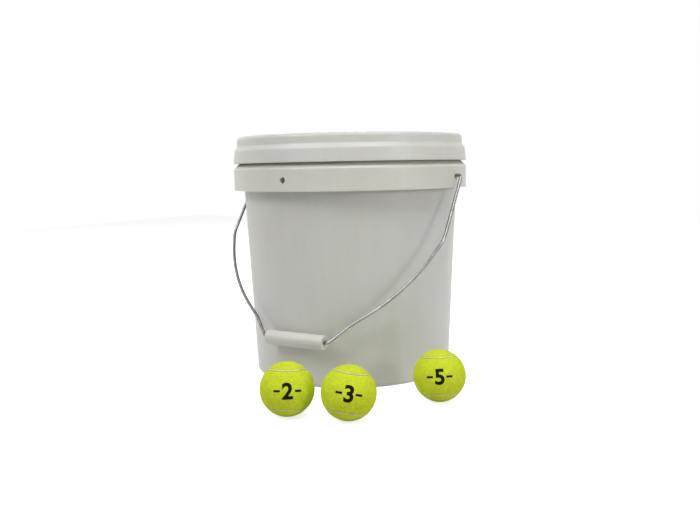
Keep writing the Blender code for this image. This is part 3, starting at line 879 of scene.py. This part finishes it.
def seam_distances(directions):
    """How far each direction lies from the seam's middle, along the ball."""
    nearest = (directions @ SEAM_CURVE.T).max(axis=1)
    return np.arccos(np.clip(nearest, -1, 1)) * BALL_RADIUS


def felt_radii(directions, seed):
    """Distance of the felt's surface from the ball's centre: tufted, and rolled down at the seam."""
    inward = seam_distances(directions) - SEAM_WIDTH / 2 - GAP
    share = np.clip(1 - inward / FELT_EDGE_ROLL, 0, 1)
    radii = BALL_RADIUS - FELT_TUCK - FELT_EDGE_DROP * (1 - np.sqrt(1 - share * share))
    shift = Vector([seed * length for length in SEED_SHIFT])
    for index, direction in enumerate(directions):
        place = Vector(direction) * BALL_RADIUS
        tuft = noise.noise(place * TUFT_SCALE + shift)
        strand = noise.noise(place * STRAND_SCALE + shift)
        radii[index] += tuft * TUFT_HEIGHT + strand * STRAND_HEIGHT
    return radii


def ball_matrix(name, heading, tilt, roll):
    """Places a ball at its nodes and turns it, so that its number, at its own +Z, faces forward."""
    lows, highs = zip(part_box(name + "_felt_front"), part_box(name + "_felt_back"))
    low = Vector([min(pair) for pair in zip(*lows)])
    high = Vector([max(pair) for pair in zip(*highs)])
    centre = (low + high) / 2
    centre.z = BALL_RADIUS
    return (
        Matrix.Translation(centre)
        @ Matrix.Rotation(math.radians(heading), 4, "Z")
        @ Matrix.Rotation(math.radians(90 - tilt), 4, "X")
        @ Matrix.Rotation(math.radians(roll), 4, "Z")
    )


def above_floor(mesh):
    for vert in mesh.vertices:
        vert.co.z = max(vert.co.z, FLOOR_CLEARANCE)


def panel_mesh(name, seed, finish):
    """One dog-bone felt panel, ruled across from one seam edge to the other."""
    rows = []
    half_steps = SEAM_STEPS // 2
    for step in range(half_steps + 1):
        turn = math.pi * step / half_steps - math.pi / 2
        edge = beside_seam(turn, SEAM_WIDTH / 2 + GAP)
        other = Vector((edge.x, -edge.y, edge.z))
        row = []
        for index in range(PANEL_STEPS + 1):
            share = (1 - math.cos(math.pi * index / PANEL_STEPS)) / 2
            apart = (edge - other).length > SAME_DIRECTION
            row.append(edge.slerp(other, share) if apart else edge.copy())
        rows.append(row)
    flat = np.array([point for row in rows for point in row])
    radii = felt_radii(flat, seed)
    bm = bmesh.new()
    outer = [bm.verts.new(Vector(point) * radius) for point, radius in zip(flat, radii)]
    inner = [bm.verts.new(Vector(point) * FELT_INSIDE) for point in flat]
    width = PANEL_STEPS + 1
    for step in range(half_steps):
        for layer in (outer, inner):
            for index in range(PANEL_STEPS):
                near = step * width + index
                far = near + width
                bm.faces.new((layer[near], layer[near + 1], layer[far + 1], layer[far]))
        for index in (0, PANEL_STEPS):
            near = step * width + index
            far = near + width
            bm.faces.new((outer[near], outer[far], inner[far], inner[near]))
    return finish_mesh(bm, name, finish, FELT_SHARP_ANGLE, FELT_MERGE)


def seam_strip(name, finish):
    """The rubber line between the panels, with a softly domed top."""
    bm = bmesh.new()
    rings = []
    top = BALL_RADIUS - SEAM_RECESS
    profile = [(-1.0, FELT_INSIDE), (1.0, FELT_INSIDE)]
    profile += [(share, top - drop) for share, drop in SEAM_DOME]
    profile += [(-share, top - drop) for share, drop in reversed(SEAM_DOME)]
    for step in range(SEAM_STEPS):
        turn = 2 * math.pi * step / SEAM_STEPS
        ring = []
        for side, radius in profile:
            ring.append(bm.verts.new(beside_seam(turn, side * SEAM_WIDTH / 2) * radius))
        rings.append(ring)
    for near, far in zip(rings, rings[1:] + rings[:1]):
        for index in range(len(profile)):
            after = (index + 1) % len(profile)
            bm.faces.new((near[index], near[after], far[after], far[index]))
    return finish_mesh(bm, name, finish, SEAM_SHARP_ANGLE)


def flat_print(text):
    """A flat mesh of a plain number between two short bars, centred on the origin."""
    curve = bpy.data.curves.new("number", "FONT")
    curve.body = text
    curve.size = NUMBER_HEIGHT / NUMBER_SHARE
    curve.offset = NUMBER_BOLD
    curve.align_x = "CENTER"
    curve.align_y = "CENTER"
    curve.resolution_u = NUMBER_STEPS
    shown = add_object("number", curve)
    graph = bpy.context.evaluated_depsgraph_get()
    mesh = bpy.data.meshes.new_from_object(shown.evaluated_get(graph))
    bpy.data.objects.remove(shown)
    bm = bmesh.new()
    bm.from_mesh(mesh)
    bmesh.ops.remove_doubles(bm, verts=bm.verts, dist=MERGE_DISTANCE)
    bmesh.ops.dissolve_limit(bm, angle_limit=STRAIGHT_ANGLE, verts=bm.verts, edges=bm.edges)
    xs = [vert.co.x for vert in bm.verts]
    ys = [vert.co.y for vert in bm.verts]
    middle = Vector(((min(xs) + max(xs)) / 2, (min(ys) + max(ys)) / 2, 0))
    half = (max(xs) - min(xs)) / 2
    bmesh.ops.translate(bm, verts=bm.verts, vec=-middle)
    for side in (-1, 1):
        start = side * (half + BAR_GAP)
        end = start + side * BAR_LENGTH
        corners = ((start, -1), (end, -1), (end, 1), (start, 1))
        bm.faces.new([bm.verts.new((x, y * BAR_WIDTH / 2, 0)) for x, y in corners])
    return bm


def cut_into_cells(bm, reach):
    """Cuts a flat mesh along a square grid, so that it can bend round the ball."""
    count = math.ceil(reach / PRINT_CELL)
    for axis in (Vector((1, 0, 0)), Vector((0, 1, 0))):
        for step in range(-count, count + 1):
            bmesh.ops.bisect_plane(
                bm,
                geom=bm.verts[:] + bm.edges[:] + bm.faces[:],
                plane_co=axis * step * PRINT_CELL,
                plane_no=axis,
            )


def print_mesh(name, flat, finish, seed):
    """The print wrapped onto the front of the ball, following the felt."""
    bm = flat.copy()
    reach = max(max(abs(vert.co.x), abs(vert.co.y)) for vert in bm.verts)
    cut_into_cells(bm, reach)
    bmesh.ops.recalc_face_normals(bm, faces=bm.faces)
    faces = bm.faces[:]
    moved = bmesh.ops.extrude_face_region(bm, geom=faces)["geom"]
    lower = {item for item in moved if isinstance(item, bmesh.types.BMVert)}
    directions = []
    for vert in bm.verts:
        angles = vert.co / BALL_RADIUS
        direction = Vector((math.sin(angles.x), math.sin(angles.y), 1))
        direction.z = math.sqrt(max(0, 1 - direction.x**2 - direction.y**2))
        directions.append(direction)
    radii = felt_radii(np.array(directions), seed)
    for vert, direction, radius in zip(bm.verts, directions, radii):
        depth = -INK_DEPTH if vert in lower else INK_RISE
        vert.co = direction * (radius + depth)
    return finish_mesh(bm, name, finish, PRINT_SHARP_ANGLE, PRINT_MERGE)


def fuzz_mesh(name, seed, flat, finish, ink):
    """Curved tapering fibres all over the felt, black where they stand in the print."""
    draw = random.Random(seed * FUZZ_SEED)
    tree = BVHTree.FromBMesh(flat)
    directions = []
    while len(directions) < FUZZ_COUNT:
        height = draw.uniform(-1, 1)
        turn = draw.uniform(0, 2 * math.pi)
        width = math.sqrt(1 - height * height)
        directions.append((width * math.cos(turn), width * math.sin(turn), height))
    directions = np.array(directions)
    keep = seam_distances(directions) > SEAM_WIDTH / 2 + GAP
    directions = directions[keep]
    radii = felt_radii(directions, seed)
    verts = []
    faces = []
    inked = []
    for direction, radius in zip(directions, radii):
        up = Vector(direction)
        side = up.orthogonal().normalized()
        side = Matrix.Rotation(draw.uniform(0, 2 * math.pi), 3, up) @ side
        other = up.cross(side)
        length = draw.uniform(*FUZZ_LENGTH)
        lift = draw.triangular(*FUZZ_LIFT)
        curl = draw.uniform(-FUZZ_CURL, FUZZ_CURL)
        root = up * (radius - FUZZ_ROOT_DEPTH)
        middle = root + (side * math.cos(lift) + up * math.sin(lift)) * length * 0.5
        bend = lift - draw.uniform(*FUZZ_BEND)
        ahead = side * math.cos(curl) + other * math.sin(curl)
        tip = middle + (ahead * math.cos(bend) + up * math.sin(bend)) * length * 0.5
        black = False
        if up.z > 0:
            x, y = math.asin(up.x) * BALL_RADIUS, math.asin(up.y) * BALL_RADIUS
            black = tree.ray_cast(Vector((x, y, 1)), Vector((0, 0, -1)))[0] is not None
        start = len(verts)
        for centre, thick in ((root, 1.0), (middle, FUZZ_TAPER)):
            for corner in range(FUZZ_SIDES):
                angle = 2 * math.pi * corner / FUZZ_SIDES
                spoke = other * math.cos(angle) + up * math.sin(angle)
                verts.append(centre + spoke * FUZZ_RADIUS * thick)
        verts.append(tip)
        faces += [[start + corner for corner in face] for face in FUZZ_FACES]
        inked += [black] * len(FUZZ_FACES)
    mesh = bpy.data.meshes.new(name)
    mesh.from_pydata([tuple(vert) for vert in verts], [], faces)
    mesh.materials.append(finish)
    mesh.materials.append(ink)
    mesh.polygons.foreach_set("material_index", [int(black) for black in inked])
    mesh.shade_smooth()
    return mesh


def make_ball(name, heading, tilt, roll, text, finishes):
    felt, fuzz, seam, ink = finishes
    place = ball_matrix(name, heading, tilt, roll)
    turn_over = Matrix.Rotation(math.pi, 4, (1, 1, 0))
    seed = int(text)
    flat = flat_print(text)
    front = panel_mesh(name + "_panel_front", seed, felt)
    back = panel_mesh(name + "_panel_back", seed, felt)
    line = seam_strip(name + "_seam_line", seam)
    fibres = fuzz_mesh(name + "_fuzz", seed, flat, fuzz, ink)
    number = print_mesh(name + "_number", flat, ink, seed)
    pieces = [
        (front, place, "ball_felt", [name + "_felt_front"]),
        (back, place @ turn_over, "ball_felt", [name + "_felt_back"]),
        (line, place, "seam_rubber", [name + "_seam"]),
        (fibres, place, "ball_felt", []),
        (number, place, "ball_felt", []),
    ]
    for mesh, matrix, slot, replaced in pieces:
        mesh.transform(matrix)
        above_floor(mesh)
        add_piece(mesh.name, mesh, name, replaced)


# Camera, lamps, world and floor


def make_camera():
    """The photograph's camera, at its place beside the bucket's axis."""
    ahead = Vector((-math.sin(CAMERA_AZIMUTH), math.cos(CAMERA_AZIMUTH), 0))
    across = Vector((math.cos(CAMERA_AZIMUTH), math.sin(CAMERA_AZIMUTH), 0))
    up = Vector((0, 0, 1))
    forward = ahead * math.cos(CAMERA_PAN) + across * math.sin(CAMERA_PAN)
    right = across * math.cos(CAMERA_PAN) - ahead * math.sin(CAMERA_PAN)
    view = forward * math.cos(CAMERA_PITCH) - up * math.sin(CAMERA_PITCH)
    top = forward * math.sin(CAMERA_PITCH) + up * math.cos(CAMERA_PITCH)
    rolled_right = right * math.cos(CAMERA_ROLL) - top * math.sin(CAMERA_ROLL)
    rolled_top = right * math.sin(CAMERA_ROLL) + top * math.cos(CAMERA_ROLL)
    data = bpy.data.cameras.new("camera")
    data.sensor_width = SENSOR_WIDTH
    data.lens = FOCAL_PIXELS / IMAGE_WIDTH * SENSOR_WIDTH
    camera = add_object("camera", data)
    place = AXIS - ahead * CAMERA_DISTANCE + up * CAMERA_HEIGHT
    turn = Matrix((rolled_right, rolled_top, -view)).transposed()
    camera.matrix_world = Matrix.Translation(place) @ turn.to_4x4()
    bpy.context.scene.camera = camera


def add_lamp(name, azimuth, elevation, distance, size, power):
    """A square lamp that looks at the bucket's middle; azimuth 0 is in front, on the -Y side."""
    target = AXIS + Vector((0, 0, RIM_HEIGHT / 2))
    angle = math.radians(azimuth)
    rise = math.radians(elevation)
    away = Vector((math.sin(angle) * math.cos(rise), -math.cos(angle) * math.cos(rise), math.sin(rise)))
    data = bpy.data.lights.new(name, "AREA")
    data.shape = "SQUARE"
    data.size = size
    data.energy = power
    lamp = add_object(name, data)
    lamp.location = target + away * distance
    lamp.rotation_mode = "QUATERNION"
    lamp.rotation_quaternion = (-away).to_track_quat("-Z", "Y")


def seen_directly(tree):
    """1 for rays from the camera and in reflections, else 0."""
    path = add_node(tree, "ShaderNodeLightPath")
    total = path.outputs["Is Camera Ray"]
    for output in ("Is Glossy Ray", "Is Transmission Ray"):
        either = add_node(tree, "ShaderNodeMath", operation="MAXIMUM")
        tree.links.new(total, either.inputs[0])
        tree.links.new(path.outputs[output], either.inputs[1])
        total = either.outputs[0]
    return total


def make_world():
    """Even light from all round, which the camera and reflections see as white."""
    world = bpy.data.worlds.new("studio")
    bpy.context.scene.world = world
    world.use_nodes = True
    tree = world.node_tree
    light = mix_colours(tree, seen_directly(tree), AMBIENT, WHITE)
    tree.links.new(light, tree.nodes["Background"].inputs["Color"])


def make_floor():
    """A plain floor that looks white and keeps the object's shadow."""
    half = FLOOR_SIZE / 2
    corners = [(-half, -half, 0), (half, -half, 0), (half, half, 0), (-half, half, 0)]
    mesh = bpy.data.meshes.new("floor")
    mesh.from_pydata(corners, [], [(0, 1, 2, 3)])
    made, tree, shader = new_material("floor")
    set_sockets(shader, Base_Color=(FLOOR_ALBEDO, FLOOR_ALBEDO, FLOOR_ALBEDO, 1))
    set_sockets(shader, Roughness=FLOOR_ROUGHNESS, Specular_IOR_Level=0.0, Emission_Color=(*WHITE, 1))
    glow = add_node(tree, "ShaderNodeMath", operation="MULTIPLY")
    glow.inputs[1].default_value = FLOOR_GLOW
    tree.links.new(seen_directly(tree), glow.inputs[0])
    tree.links.new(glow.outputs[0], shader.inputs["Emission Strength"])
    mesh.materials.append(made)
    floor = add_object("floor", mesh)


def main():
    bpy.context.scene.view_settings.view_transform = "Standard"
    make_camera()
    make_world()
    for name, lamp in LAMPS.items():
        add_lamp(name, *lamp)
    make_floor()
    make_bucket(plastic("pail_plastic", *PAIL_COLOURS, roughness=0.40))
    make_lid(plastic("lid_plastic", *LID_COLOURS, roughness=0.42))
    make_grip(plastic("grip_plastic", *GRIP_COLOURS, roughness=0.45, subsurface=0.2))
    make_bail(zinc_wire())
    felt = felt_material("ball_felt", *FELT_COLOURS)
    fuzz = felt_material("ball_fuzz", *FUZZ_COLOURS, fuzz=True)
    seam = rubber("seam_rubber", SEAM_COLOUR, roughness=0.7)
    ink = ink_material()
    core = rubber("core_rubber", CORE_COLOUR, roughness=0.75)
    for name, (heading, tilt, roll, text) in BALLS.items():
        make_ball(name, heading, tilt, roll, text, (felt, fuzz, seam, ink))
        for end in ("_core_front", "_core_back"):
            node = frame["nodes"][name + end]
            node.data.materials.clear()
            node.data.materials.append(core)
    bpy.context.view_layer.update()


main()
